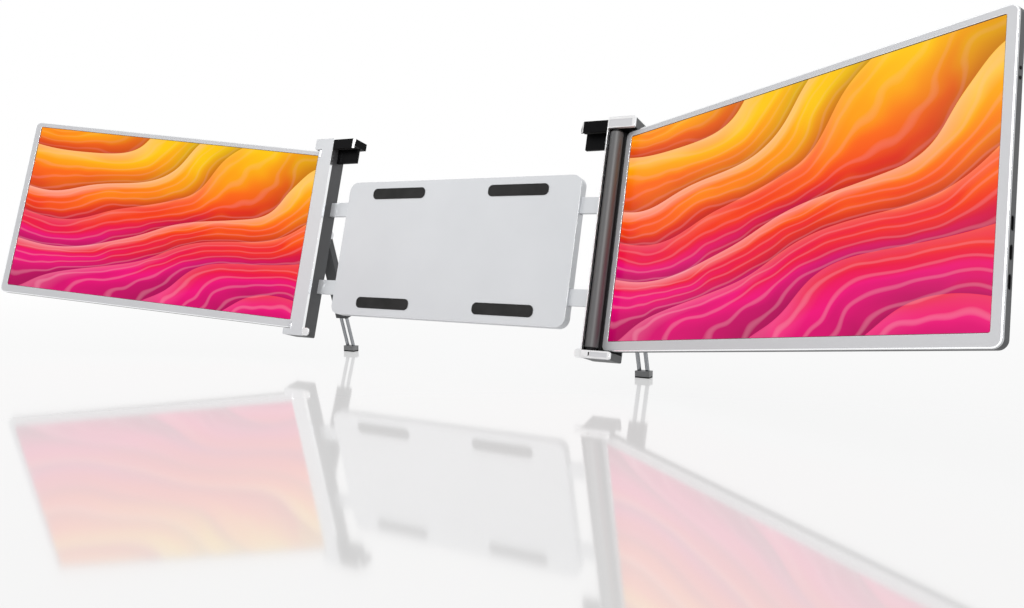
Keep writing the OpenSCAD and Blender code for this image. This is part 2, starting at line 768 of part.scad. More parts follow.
on_right() rail(rail_z[0], right_spine_out - 1);  // right_upper_rail
on_right() rail(rail_z[1], right_spine_out - 1);  // right_lower_rail
on_right() right_front_frame();
on_right() right_side_housing();
on_right() rear_cover(right_cover_out, right_block_h);  // right_rear_cover
on_right() top_hook();  // right_top_hook
on_right() hook_pad();  // right_hook_pad
on_right() bottom_hook();  // right_bottom_hook
on_right() bracket_screws(right_spine_out - 1);  // right_bracket_screws
on_right() leg_mount();  // right_leg_mount
on_right() leg_pin();  // right_leg_pin
on_right_screen() bezel();  // right_bezel
on_right_screen() display();  // right_display
on_right_screen() backlight();  // right_backlight
on_right_screen() driver_board();  // right_driver_board
on_right_screen() ports();  // right_ports
on_right_screen() rear_shell();  // right_rear_shell
at_right_axis() right_hinge_leaf();
at_right_axis() right_hinge_tube();
at_right_axis() right_hinge_pins();
on_right_screen() screen_screws(right_leaf_t);  // right_screen_screws
on_right_screen() side_button(button_z[0]);  // right_power_button
on_right_screen() side_button(button_z[1]);  // right_menu_button
on_right() leg_housing();  // right_leg_housing
on_right() leg_rods();  // right_leg_rods
on_right() leg_foot();  // right_leg_foot
on_right() foot_pad();  // right_foot_pad
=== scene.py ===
"""A laptop screen extender: two lit screens on sliding, hinged brackets, with two rear legs."""

import json
import math

import bpy
from mathutils import Matrix, Vector


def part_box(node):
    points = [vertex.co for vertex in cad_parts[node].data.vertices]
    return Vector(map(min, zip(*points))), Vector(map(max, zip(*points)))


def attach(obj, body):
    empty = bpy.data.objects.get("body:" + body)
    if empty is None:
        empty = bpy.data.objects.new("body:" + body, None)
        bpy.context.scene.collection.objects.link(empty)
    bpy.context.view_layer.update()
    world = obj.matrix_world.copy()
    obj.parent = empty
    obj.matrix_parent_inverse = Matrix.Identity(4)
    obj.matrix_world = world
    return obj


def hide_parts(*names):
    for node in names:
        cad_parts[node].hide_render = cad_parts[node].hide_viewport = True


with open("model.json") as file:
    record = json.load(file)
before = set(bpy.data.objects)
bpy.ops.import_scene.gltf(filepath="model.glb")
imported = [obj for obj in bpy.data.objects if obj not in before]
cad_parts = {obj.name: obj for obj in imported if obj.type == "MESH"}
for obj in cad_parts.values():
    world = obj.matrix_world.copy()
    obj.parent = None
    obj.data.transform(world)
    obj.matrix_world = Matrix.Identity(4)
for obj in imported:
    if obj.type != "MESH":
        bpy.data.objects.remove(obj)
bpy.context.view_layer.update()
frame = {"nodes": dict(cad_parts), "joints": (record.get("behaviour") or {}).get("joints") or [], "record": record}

MM = 0.001
SIDES = ("left", "right")
LID_TILT = math.radians(15)
NEAR = 0.01 * MM                    # places nearer than this are the same

RECORD = frame["record"]
JOINTS = {joint["name"]: joint for joint in frame["joints"]}
BODY_OF = {node: body for body, nodes in RECORD["behaviour"]["bodies"].items() for node in nodes}
SLOT_OF = {part["node"]: part["material_slot"] for part in RECORD["subparts"]}

# ---- Frames of the object's own pieces ----

# The brackets' frames lean back about the origin; left pieces are right pieces mirrored
LEAN = Matrix.Rotation(-LID_TILT, 4, "X")
FLIP = {"right": Matrix.Identity(4), "left": Matrix.Scale(-1, 4, (1, 0, 0))}
LID = {side: LEAN @ FLIP[side] for side in SIDES}


def screen_frame(side):
    """The screen's own frame: x out from the hinge, y back from the hinge axis, z along it."""
    joint = JOINTS[side + "_screen_hinge"]
    axis = LID[side].inverted() @ Vector(joint["pos_m"])
    swing = math.radians(180 - joint["range_deg"][1])
    return LID[side] @ Matrix.Translation(axis) @ Matrix.Rotation(-swing, 4, "Z")


SCREEN = {side: screen_frame(side) for side in SIDES}


def span(node, axes):
    """Lowest and highest corner of a CAD node in a frame of LID or SCREEN."""
    back = axes.inverted()
    points = [back @ vertex.co for vertex in frame["nodes"][node].data.vertices]
    low = Vector([min(point[i] for point in points) for i in range(3)])
    high = Vector([max(point[i] for point in points) for i in range(3)])
    return low, high


# ---- Materials ----

def new_material(name, color, metallic=0.0, roughness=0.5, **sockets):
    """A Principled material with its constants set on the shader."""
    material = bpy.data.materials.new(name)
    material.use_nodes = True
    shader = material.node_tree.nodes["Principled BSDF"]
    shader.inputs["Base Color"].default_value = (*color, 1)
    shader.inputs["Metallic"].default_value = metallic
    shader.inputs["Roughness"].default_value = roughness
    for socket, value in sockets.items():
        shader.inputs[socket.replace("_", " ")].default_value = value
    return material


def shader_input(material, name):
    return material.node_tree.nodes["Principled BSDF"].inputs[name]


def add_node(material, kind, **settings):
    node = material.node_tree.nodes.new(kind)
    for name, value in settings.items():
        setattr(node, name, value)
    return node


def link(material, source, target):
    material.node_tree.links.new(source, target)


def grain(material, scale, detail=4.0, stretch=(1, 1, 1), source="Object"):
    """Noise on the piece's own coordinates; returns its 0 to 1 value."""
    coordinates = add_node(material, "ShaderNodeTexCoord")
    mapping = add_node(material, "ShaderNodeMapping")
    mapping.inputs["Scale"].default_value = stretch
    noise = add_node(material, "ShaderNodeTexNoise")
    noise.inputs["Scale"].default_value = scale
    noise.inputs["Detail"].default_value = detail
    link(material, coordinates.outputs[source], mapping.inputs["Vector"])
    link(material, mapping.outputs["Vector"], noise.inputs["Vector"])
    return noise.outputs["Fac"]


NOISE_RANGE = (0.3, 0.7)            # most of a noise's values lie between these


def shade(material, value, low, high):
    """Base colour runs between two colours as a noise's value runs over its range."""
    ramp = add_node(material, "ShaderNodeValToRGB")
    for element, position, color in zip(ramp.color_ramp.elements, NOISE_RANGE, (low, high)):
        element.position = position
        element.color = (*color, 1)
    link(material, value, ramp.inputs["Fac"])
    link(material, ramp.outputs["Color"], shader_input(material, "Base Color"))


def vary_roughness(material, value, low, high):
    spread = add_node(material, "ShaderNodeMapRange")
    spread.inputs["To Min"].default_value = low
    spread.inputs["To Max"].default_value = high
    link(material, value, spread.inputs["Value"])
    link(material, spread.outputs["Result"], shader_input(material, "Roughness"))


def emboss(material, value, strength, distance):
    """Bump from a value; distance is the real height in metres."""
    bump = add_node(material, "ShaderNodeBump")
    bump.inputs["Strength"].default_value = strength
    bump.inputs["Distance"].default_value = distance
    link(material, value, bump.inputs["Height"])
    link(material, bump.outputs["Normal"], shader_input(material, "Normal"))


def silver_anodised():
    """Bead-blasted, anodised aluminium with a satin sheen."""
    material = new_material("silver_anodised", (0.625, 0.64, 0.66), metallic=0.45, roughness=0.44)
    cloud = grain(material, 14, detail=3)
    shade(material, cloud, (0.61, 0.625, 0.645), (0.64, 0.655, 0.675))
    vary_roughness(material, cloud, 0.435, 0.455)
    return material


def silver_paint():
    """Silver lacquer of the bezels and of the sunk panels: greyer and flatter than the metal."""
    material = new_material("silver_paint", (0.60, 0.607, 0.625), metallic=0.22, roughness=0.5)
    cloud = grain(material, 12, detail=3)
    shade(material, cloud, (0.59, 0.597, 0.615), (0.61, 0.617, 0.635))
    vary_roughness(material, cloud, 0.48, 0.53)
    return material


def pale_highlight_metal():
    """Nearly white metal: the lower hooks' own pale metal brightened as a painted highlight, and a painted
    highlight on the top hooks' chamfers and the sunk panels' rims.
    """
    material = new_material("pale_highlight_metal", (0.78, 0.785, 0.79), metallic=0.25, roughness=0.4)
    cloud = grain(material, 60, detail=3)
    shade(material, cloud, (0.76, 0.765, 0.77), (0.80, 0.805, 0.81))
    vary_roughness(material, cloud, 0.36, 0.44)
    return material


def painted_highlight_edge():
    """Polished near-white chamfer round an anodised edge, a painted highlight; also painted on side faces and
    along lines.
    """
    material = new_material("painted_highlight_edge", (0.93, 0.94, 0.95), metallic=0.9, roughness=0.16)
    wear = grain(material, 50, detail=2)
    vary_roughness(material, wear, 0.13, 0.2)
    return material


def dark_grey_shell():
    """Moulded dark grey casing with a fine spark-eroded texture."""
    material = new_material("dark_grey_shell", (0.062, 0.064, 0.067), roughness=0.48)
    texture = grain(material, 1400, detail=3)
    cloud = grain(material, 22, detail=4)
    shade(material, cloud, (0.060, 0.062, 0.065), (0.065, 0.067, 0.070))
    vary_roughness(material, texture, 0.42, 0.58)
    emboss(material, texture, 0.25, 0.04 * MM)
    return material


def grey_shoe():
    """The lighter grey plastic of a leg's foot."""
    material = new_material("grey_shoe", (0.28, 0.282, 0.286), roughness=0.5)
    texture = grain(material, 1200, detail=3)
    shade(material, grain(material, 50, detail=4), (0.265, 0.267, 0.27), (0.295, 0.297, 0.30))
    vary_roughness(material, texture, 0.44, 0.58)
    return material


def black_plastic():
    """Black moulded plastic, slightly glossy where it is handled."""
    material = new_material(
        "black_plastic", (0.003, 0.003, 0.0035), roughness=0.42, Specular_IOR_Level=0.05)
    texture = grain(material, 1600, detail=2)
    wear = grain(material, 40, detail=5)
    shade(material, wear, (0.0025, 0.0025, 0.003), (0.005, 0.005, 0.0055))
    vary_roughness(material, wear, 0.36, 0.5)
    emboss(material, texture, 0.15, 0.03 * MM)
    return material


def satin_black_tube():
    """Satin, nearly black tube that shows the lamp down its front."""
    material = new_material(
        "satin_black_tube", (0.055, 0.055, 0.056), roughness=0.5, Specular_IOR_Level=1.0)
    lines = grain(material, 300, detail=1, stretch=(1, 1, 0.04))
    shade(material, lines, (0.053, 0.053, 0.054), (0.057, 0.057, 0.058))
    vary_roughness(material, lines, 0.49, 0.51)
    return material


def black_rubber():
    material = new_material(
        "black_rubber", (0.018, 0.018, 0.018), roughness=0.8, Specular_IOR_Level=0.3)
    texture = grain(material, 900, detail=5)
    dust = grain(material, 60, detail=4)
    shade(material, dust, (0.015, 0.015, 0.015), (0.026, 0.026, 0.026))
    emboss(material, texture, 0.4, 0.06 * MM)
    return material


def brushed_steel():
    material = new_material("brushed_steel", (0.62, 0.63, 0.65), metallic=1.0, roughness=0.3)
    lines = grain(material, 1500, detail=3, stretch=(0.04, 1, 1))
    shade(material, lines, (0.58, 0.59, 0.61), (0.68, 0.69, 0.71))
    vary_roughness(material, lines, 0.22, 0.4)
    emboss(material, lines, 0.1, 0.02 * MM)
    return material


def black_steel():
    """Sheet steel with a black oxide coat, rubbed through a little."""
    material = new_material(
        "black_steel", (0.006, 0.006, 0.0065), roughness=0.45, Specular_IOR_Level=0.12)
    wear = grain(material, 80, detail=6)
    shade(material, wear, (0.004, 0.004, 0.0045), (0.009, 0.009, 0.0095))
    vary_roughness(material, wear, 0.38, 0.55)
    return material


def chromed_rod():
    """Polished rod with faint marks drawn along it by its housing."""
    material = new_material(
        "chromed_rod", (0.34, 0.35, 0.365), metallic=1.0, roughness=0.2, Specular_Tint=(0, 0, 0, 1))
    lines = grain(material, 1800, detail=2, stretch=(1, 1, 0.03))
    vary_roughness(material, lines, 0.16, 0.26)
    return material


def circuit_green():
    """Solder mask with copper tracks under it."""
    material = new_material("circuit_green", (0.015, 0.11, 0.05), roughness=0.3)
    tracks = grain(material, 260, detail=1, stretch=(1, 0.2, 1))
    shade(material, tracks, (0.010, 0.085, 0.038), (0.03, 0.17, 0.08))
    emboss(material, tracks, 0.3, 0.05 * MM)
    return material


def backlight_film():
    material = new_material("backlight_film", (0.86, 0.86, 0.83), roughness=0.4)
    cloud = grain(material, 30, detail=3)
    shade(material, cloud, (0.83, 0.83, 0.80), (0.89, 0.89, 0.86))
    return material


def black_mask():
    """Printed border under the cover glass."""
    material = new_material("black_mask", (0.004, 0.004, 0.005), roughness=0.12)
    smear = grain(material, 25, detail=4)
    vary_roughness(material, smear, 0.10, 0.18)
    return material


# Colours of the picture from its bottom edge to its top edge
PICTURE_COLORS = [
    (0.00, (0.68, 0.000, 0.15)),
    (0.14, (0.88, 0.002, 0.19)),
    (0.30, (0.84, 0.004, 0.06)),
    (0.46, (0.91, 0.035, 0.008)),
    (0.64, (1.00, 0.150, 0.004)),
    (0.80, (1.00, 0.330, 0.002)),
    (1.00, (1.00, 0.580, 0.002)),
]
# Shade across one ribbon, from its crease to its crest
RIBBON_SHADE = [(0.00, 0.60), (0.12, 0.76), (0.42, 0.97), (0.75, 1.00), (1.00, 1.00)]
RIBBON_COUNT = 4.6
BEND_RATE = 5.2                     # radians of the ribbons' slow wave over the picture's width
BEND_HEIGHT = 0.09
WANDER = 0.9                        # how far slow noise moves a ribbon
SLANT = -0.5                        # ribbons rise to the right by half the picture's height
STRANDS = 1.4                       # broad bands of shade in each ribbon
STRAND_WANDER = 1.6
THREADS = 4.0                       # fine lines in each ribbon
THREAD_WANDER = 3.0
# How much each thing moves the picture's colour towards the top edge's yellow
TONE_UP = 0.92
TONE_RIBBON = 0.22
TONE_ACROSS = 0.2
TONE_FOLD = 0.20
TONE_STRANDS = 0.05
TONE_THREADS = 0.02
EVEN_ACROSS = 0.35                  # the place across the picture that leaves the colour as it is
EVEN_FOLD = 0.4                     # and the place across a ribbon
GLINT_COLOR = (1.0, 0.52, 0.60)
GLINT_STOPS = [(0.72, 0.0), (0.93, 0.62), (0.985, 0.9), (1.0, 0.5)]
STREAK_STOPS = [(0.80, 0.0), (1.0, 0.45)]
RIM_GLINT = 0.55                    # the crest's glint on a ribbon of middle tone
STREAK_GLINT = 0.4
GLINT_BELOW = 1.1                   # glints' strength at the bottom edge
GLINT_LOSS = 0.85                   # and how much of it is gone at the top edge


def ramp_of(material, stops, value):
    """A colour ramp through the stops, driven by value."""
    ramp = add_node(material, "ShaderNodeValToRGB")
    elements = ramp.color_ramp.elements
    while len(elements) < len(stops):
        elements.new(0.5)
    for element, (position, color) in zip(elements, stops):
        element.position = position
        element.color = (*color, 1) if isinstance(color, tuple) else (color, color, color, 1)
    link(material, value, ramp.inputs["Fac"])
    return ramp.outputs["Color"]


def number(material, operation, first, second, clamp=False):
    node = add_node(material, "ShaderNodeMath", operation=operation, use_clamp=clamp)
    for socket, value in zip(node.inputs, (first, second)):
        if isinstance(value, (int, float)):
            socket.default_value = value
        else:
            link(material, value, socket)
    return node.outputs["Value"]


def mixed(material, blend, factor, first, second):
    node = add_node(material, "ShaderNodeMix", data_type="RGBA", blend_type=blend)
    sockets = (node.inputs[0], node.inputs[6], node.inputs[7])
    for socket, value in zip(sockets, (factor, first, second)):
        if isinstance(value, (int, float)):
            socket.default_value = value
        elif isinstance(value, tuple):
            socket.default_value = (*value, 1)
        else:
            link(material, value, socket)
    return node.outputs[2]


def lit_picture():
    """Overlapping ribbons of colour behind cover glass, yellow above and pink below."""
    material = new_material("lit_picture", (0.0, 0.0, 0.0), roughness=0.2, Specular_IOR_Level=0.12)
    coordinates = add_node(material, "ShaderNodeTexCoord")
    split = add_node(material, "ShaderNodeSeparateXYZ")
    link(material, coordinates.outputs["UV"], split.inputs["Vector"])
    across = split.outputs["X"]
    up = split.outputs["Y"]

    def plus(first, second, **options):
        return number(material, "ADD", first, second, **options)

    def times(first, second, **options):
        return number(material, "MULTIPLY", first, second, **options)

    slow = plus(grain(material, 1.3, detail=1, source="UV"), -0.5)
    quick = plus(grain(material, 4.0, detail=2, stretch=(1, 0.7, 1), source="UV"), -0.5)
    bend = number(material, "SINE", times(across, BEND_RATE), 0)
    level = plus(plus(up, times(bend, BEND_HEIGHT)), times(slow, WANDER))
    drift = times(plus(level, times(across, SLANT)), RIBBON_COUNT)
    fold = number(material, "FRACT", drift, 0)
    own = add_node(material, "ShaderNodeTexWhiteNoise", noise_dimensions="1D")
    link(material, number(material, "FLOOR", drift, 0), own.inputs["W"])
    ribbon_tone = plus(own.outputs["Value"], -0.5)
    strands = number(material, "SINE", times(
        plus(times(drift, STRANDS), times(quick, STRAND_WANDER)), math.tau), 0)
    threads = number(material, "SINE", times(
        plus(times(drift, THREADS), times(quick, THREAD_WANDER)), math.tau), 0)

    # Yellower towards the top, the right and each ribbon's crest
    tone = plus(times(up, TONE_UP), times(ribbon_tone, TONE_RIBBON))
    tone = plus(tone, times(plus(across, -EVEN_ACROSS), TONE_ACROSS))
    tone = plus(tone, times(plus(fold, -EVEN_FOLD), TONE_FOLD))
    tone = plus(tone, plus(times(strands, TONE_STRANDS), times(threads, TONE_THREADS)), clamp=True)
    color = ramp_of(material, PICTURE_COLORS, tone)
    color = mixed(material, "MULTIPLY", 1.0, color, ramp_of(material, RIBBON_SHADE, fold))

    # Pale glints along the crests and the threads, stronger low down
    rim = ramp_of(material, GLINT_STOPS, fold)
    low_down = plus(GLINT_BELOW, times(up, -GLINT_LOSS), clamp=True)
    streak = ramp_of(material, STREAK_STOPS, plus(times(threads, 0.5), 0.5))
    glint = plus(times(rim, plus(ribbon_tone, RIM_GLINT)), times(streak, STREAK_GLINT))
    glint = times(glint, low_down, clamp=True)
    color = mixed(material, "MIX", glint, color, GLINT_COLOR)

    link(material, color, shader_input(material, "Emission Color"))
    shader_input(material, "Emission Strength").default_value = 1.0
    return material


SILVER = silver_anodised()
PAINT = silver_paint()
PALE_HIGHLIGHT = pale_highlight_metal()
PAINTED_HIGHLIGHT_EDGE = painted_highlight_edge()
SHELL = dark_grey_shell()
SHOE = grey_shoe()
PLASTIC = black_plastic()
TUBE = satin_black_tube()
BLACK_STEEL = black_steel()
RUBBER = black_rubber()
STEEL = brushed_steel()
CHROME = chromed_rod()
BOARD = circuit_green()
FILM = backlight_film()
MASK = black_mask()
PICTURE = lit_picture()

FINISH = {
    "silver_metal": SILVER, "dark_grey_shell": SHELL, "black_plastic": PLASTIC,
    "black_rubber": RUBBER, "steel": STEEL, "picture_glass": PICTURE, "backlight_film": FILM,
    "circuit_board": BOARD,
}

# ---- Modelling ----

BEVEL_ANGLE = math.radians(30)      # sharper edges than this are broken
SMOOTH_ANGLE = math.radians(35)
FLAT_ANGLE = math.radians(0.6)      # faces nearer than this to one plane are joined
MERGE_DISTANCE = 0.002 * MM
SQUARE = 0.99                       # cosine of the angle within which a face looks one way
ALONG = 0.9                         # the same, for faces that need only look mainly that way
SLANTED = 0.4                       # the same, for a chamfer face that looks between two directions
REARWARD = 0.5                      # the same, for faces that look backward, outside a recess
OWN_FINISH = -1                     # a broken edge takes the finish of the faces beside it


def pick_none():
    """Leaves edit mode and selects nothing."""
    if bpy.context.object and bpy.context.object.mode != "OBJECT":
        bpy.ops.object.mode_set(mode="OBJECT")
    bpy.ops.object.select_all(action="DESELECT")


def pick(piece):
    """Leaves edit mode and selects one piece alone."""
    pick_none()
    piece.select_set(True)
    bpy.context.view_layer.objects.active = piece


def clear_edit_selection(piece, mode):
    pick(piece)
    bpy.ops.object.mode_set(mode="EDIT")
    bpy.ops.mesh.select_mode(type=mode)
    bpy.ops.mesh.select_all(action="DESELECT")
    bpy.ops.object.mode_set(mode="OBJECT")


def choose_faces(piece, wanted):
    """Selects the faces for which wanted(centre, normal) holds, and stays in edit mode."""
    clear_edit_selection(piece, "FACE")
    for face in piece.data.polygons:
        face.select = bool(wanted(face.center, face.normal))
    bpy.ops.object.mode_set(mode="EDIT")


def choose_edges(piece, wanted):
    """Selects the edges for which wanted(end, end) holds, and stays in edit mode."""
    clear_edit_selection(piece, "EDGE")
    points = [vertex.co.copy() for vertex in piece.data.vertices]
    for edge in piece.data.edges:
        edge.select = bool(wanted(points[edge.vertices[0]], points[edge.vertices[1]]))
    bpy.ops.object.mode_set(mode="EDIT")


def box_piece(name, low, high):
    """A box between two corners, ready to be shaped; it has no UV map."""
    pick_none()
    middle = (low + high) / 2
    bpy.ops.mesh.primitive_cube_add(size=1, calc_uvs=False, location=middle, scale=high - low)
    bpy.ops.object.transform_apply(location=True, rotation=True, scale=True)
    piece = bpy.context.object
    piece.name = name
    return piece


def bevel_all(piece, width, segments, edge_finish=OWN_FINISH):
    """Rounds the sharp edges with an applied Bevel modifier."""
    pick(piece)
    bevel = piece.modifiers.new("Bevel", "BEVEL")
    bevel.width = width
    bevel.segments = segments
    bevel.limit_method = "ANGLE"
    bevel.angle_limit = BEVEL_ANGLE
    bevel.use_clamp_overlap = True
    bevel.material = edge_finish
    bpy.ops.object.modifier_apply(modifier=bevel.name)
    smooth(piece)


def smooth(piece):
    """Smooth shading across rounded edges, with the large faces kept flat."""
    pick(piece)
    bpy.ops.object.shade_smooth_by_angle(angle=SMOOTH_ANGLE)
    weighted = piece.modifiers.new("Flat faces", "WEIGHTED_NORMAL")
    weighted.keep_sharp = True
    bpy.ops.object.modifier_apply(modifier=weighted.name)


def cut_with(piece, cutters):
    """Cuts the cutters' shapes out of a piece, then deletes them."""
    pick(cutters[0])
    for cutter in cutters:
        cutter.select_set(True)
    if len(cutters) > 1:
        bpy.ops.object.join()
    cutter = cutters[0]
    pick(piece)
    boolean = piece.modifiers.new("Cut", "BOOLEAN")
    boolean.operation = "DIFFERENCE"
    boolean.solver = "EXACT"
    boolean.object = cutter
    bpy.ops.object.modifier_apply(modifier=boolean.name)
    bpy.data.objects.remove(cutter)


def place(piece, matrix):
    """Puts a piece modelled in its own frame where it belongs, with its place in its mesh."""
    piece.matrix_world = matrix
    pick(piece)
    bpy.ops.object.transform_apply(location=True, rotation=True, scale=True)
    bpy.ops.object.mode_set(mode="EDIT")
    bpy.ops.mesh.select_all(action="SELECT")
    bpy.ops.mesh.normals_make_consistent(inside=False)
    bpy.ops.object.mode_set(mode="OBJECT")


def paint(piece, *materials):
    piece.data.materials.clear()
    for material in materials:
        piece.data.materials.append(material)


def stands_for(piece, *nodes):
    """The piece takes the place and the body of its CAD nodes, which are hidden."""
    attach(piece, BODY_OF[nodes[0]])
    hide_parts(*nodes)


def copy_of(node, name):
    """A merged copy of a CAD node, with flat faces joined, to be shaped further."""
    pick_none()
    piece = bpy.data.objects.new(name, frame["nodes"][node].data.copy())
    bpy.context.scene.collection.objects.link(piece)
    pick(piece)
    bpy.ops.object.mode_set(mode="EDIT")
    bpy.ops.mesh.select_all(action="SELECT")
    bpy.ops.mesh.remove_doubles(threshold=MERGE_DISTANCE)
    bpy.ops.mesh.dissolve_limited(angle_limit=FLAT_ANGLE)
    bpy.ops.object.mode_set(mode="OBJECT")
    return piece


def rounded(node, name, width, segments, finish, edge=None):
    """A CAD node's shape with its edges broken, and with their own finish where edge is given."""
    piece = copy_of(node, name)
    if edge:
        paint(piece, finish, edge)
        bevel_all(piece, width, segments, edge_finish=1)
    else:
        paint(piece, finish)
        bevel_all(piece, width, segments)
    stands_for(piece, node)
    return piece


def round_rows(rows, prefix=""):
    """Rounds each row's node: node, piece, width in mm, segments, finish, and the edge's own."""
    for node, name, width, segments, *finishes in rows:
        rounded(prefix + node, prefix + name, width * MM, segments, *finishes)


# ---- Screens ----

GLASS_BORDER = 3.35 * MM            # from the glass sheet's edge to the lit picture
GLASS_EDGE = 0.25 * MM


def cover_glass(side):
    """The glass sheet: a printed border, and the lit picture on its own UV map."""
    node = side + "_display"
    low, high = span(node, SCREEN[side])
    piece = box_piece(side + "_cover_glass", low, high)
    choose_faces(piece, lambda centre, normal: normal.y < -SQUARE)
    bpy.ops.mesh.inset(thickness=GLASS_BORDER, depth=0)
    pick(piece)

    def on_front_rim(point):
        ends = (point.x - low.x, point.x - high.x, point.z - low.z, point.z - high.z)
        return abs(point.y - low.y) < NEAR and min(abs(end) for end in ends) < NEAR

    choose_edges(piece, lambda a, b: on_front_rim(a) and on_front_rim(b))
    bpy.ops.mesh.bevel(offset=GLASS_EDGE, segments=2, affect="EDGES")
    pick(piece)
    paint(piece, MASK, PICTURE)
    layer = piece.data.uv_layers.new(name="picture")
    width = high.x - low.x
    height = high.z - low.z
    # x runs out from the hinge, so the left picture is turned round
    for face in piece.data.polygons:
        lit = face.normal.y < -SQUARE and face.area > width * height / 2
        face.material_index = 1 if lit else 0
        for corner in face.loop_indices:
            point = piece.data.vertices[piece.data.loops[corner].vertex_index].co
            u = (point.x - low.x) / width
            layer.data[corner].uv = (u if side == "right" else 1 - u, (point.z - low.z) / height)
    place(piece, SCREEN[side])
    stands_for(piece, node)


VENT_COUNT = 22
VENT_W = 2.0 * MM
VENT_H = 14 * MM
VENT_PITCH = 4.6 * MM
VENT_DEPTH = 0.7 * MM
VENT_FROM_TOP = 30 * MM             # from the shell's top edge down to the vents' lower ends
SHELL_EDGE = 0.35 * MM


def rear_shell(side):
    """The moulded back: a softly rounded rim and a row of vents near its top edge."""
    node = side + "_rear_shell"
    piece = copy_of(node, side + "_screen_back")
    piece.matrix_world = SCREEN[side].inverted()
    pick(piece)
    bpy.ops.object.transform_apply(location=True, rotation=True, scale=True)
    low, high = span(node, SCREEN[side])
    middle = (low.x + high.x) / 2
    cutters = []
    for i in range(VENT_COUNT):
        x = middle + (i - (VENT_COUNT - 1) / 2) * VENT_PITCH
        corner = Vector((x - VENT_W / 2, high.y - VENT_DEPTH, high.z - VENT_FROM_TOP))
        cutters.append(box_piece("vent", corner, corner + Vector((VENT_W, 3 * VENT_DEPTH, VENT_H))))
    cut_with(piece, cutters)
    paint(piece, SHELL)
    bevel_all(piece, SHELL_EDGE, 2)
    place(piece, SCREEN[side])
    stands_for(piece, node)


HIGHLIGHT_LINE = 0.9 * MM                # painted highlight line round the bezel
HIGHLIGHT_ZONE = 3 * MM                  # faces nearer than this to the bezel's outer box are that painted highlight line
BEZEL_EDGE = 0.45 * MM


def screen_bezel(side):
    """The lacquered bezel, with a painted highlight line along its outer edge and painted highlight on its broken
    edges.
    """
    node = side + "_bezel"
    piece = copy_of(node, side + "_screen_bezel")
    paint(piece, PAINT, PAINTED_HIGHLIGHT_EDGE)
    to_user = SCREEN[side].to_3x3() @ Vector((0, -1, 0))
    choose_faces(piece, lambda centre, normal: normal.dot(to_user) > SQUARE)
    bpy.ops.mesh.inset(thickness=HIGHLIGHT_LINE, depth=0)
    pick(piece)
    low, high = span(node, SCREEN[side])
    back = SCREEN[side].inverted()
    # The flat ring along the outer edge is painted near-white as a highlight line
    for face in piece.data.polygons:
        spot = back @ face.center
        inset = min(spot.x - low.x, high.x - spot.x, spot.z - low.z, high.z - spot.z)
        on_highlight_line = face.normal.dot(to_user) > SQUARE and not face.select and inset < HIGHLIGHT_ZONE
        face.material_index = int(on_highlight_line)
    bevel_all(piece, BEZEL_EDGE, 2, edge_finish=1)
    stands_for(piece, node)


SCREEN_ROWS = (
    ("ports", "socket_shells", 0.08, 2, BLACK_STEEL),
    ("power_button", "power_key", 0.15, 2, PLASTIC),
    ("menu_button", "menu_key", 0.15, 2, PLASTIC),
)


def build_screen(side):
    screen_bezel(side)
    cover_glass(side)
    rear_shell(side)
    round_rows(SCREEN_ROWS, side + "_")


# ---- Brackets ----

BLOCK_W = 27 * MM
BLOCK_H = 10.8 * MM
BAR_W = 29 * MM
BAR_H = 7.1 * MM
FRONT_EDGE = 0.9 * MM
PANEL_DEPTH = 0.2 * MM
BLOCK_RIM_SIDE = 1.2 * MM           # rim beside the block's panel, towards the middle
BLOCK_RIM_BELOW = 1.0 * MM
BLOCK_RIM_WIDE = 2.8 * MM           # rim at the panel's other two sides
BAR_PANEL_X = 9.8 * MM              # from the bar's inner end to its panel
BAR_RIM = 1.5 * MM                  # rim above and below the bar's panel
BAR_RIM_END = 2.6 * MM
GROOVE_X = 7.6 * MM
GROOVE_Z = 2.2 * MM
GROOVE_W = 1.5 * MM
GROOVE_H = 3.2 * MM
GROOVE_DEPTH = 0.8 * MM
HOUSING_EDGE = 0.3 * MM
RIM_DEPTH = 0.35 * MM               # how far back the right housing's silver rim reaches
COVER_EDGE = 0.5 * MM
HOOK_CHAMFER = 2.5 * MM
HOOK_EDGE = 0.4 * MM
BRACKET_ROWS = (
    ("hook_pad", "lid_hook_pad", 0.15, 2, RUBBER),
    # The lower hooks are near-white, brightened as a painted highlight, with painted highlights on their broken
    # edges
    ("bottom_hook", "lid_lip", 0.5, 2, PALE_HIGHLIGHT, PAINTED_HIGHLIGHT_EDGE),
    ("leg_mount", "leg_bracket", 0.25, 2, STEEL),
    ("upper_rail", "upper_slide_rail", 0.4, 2, SILVER),
    ("lower_rail", "lower_slide_rail", 0.4, 2, SILVER),
)


def refinish(piece, side, wanted, index):
    """Gives another finish to the faces whose centre and normal in the LID frame are wanted."""
    back = LID[side].inverted()
    for face in piece.data.polygons:
        if wanted(back @ face.center, back.to_3x3() @ face.normal):
            face.material_index = index


def lid_box(side, low, high):
    """A cutter between two corners in the LID frame."""
    cutter = box_piece("cutter", low, high)
    cutter.matrix_world = LID[side]
    return cutter


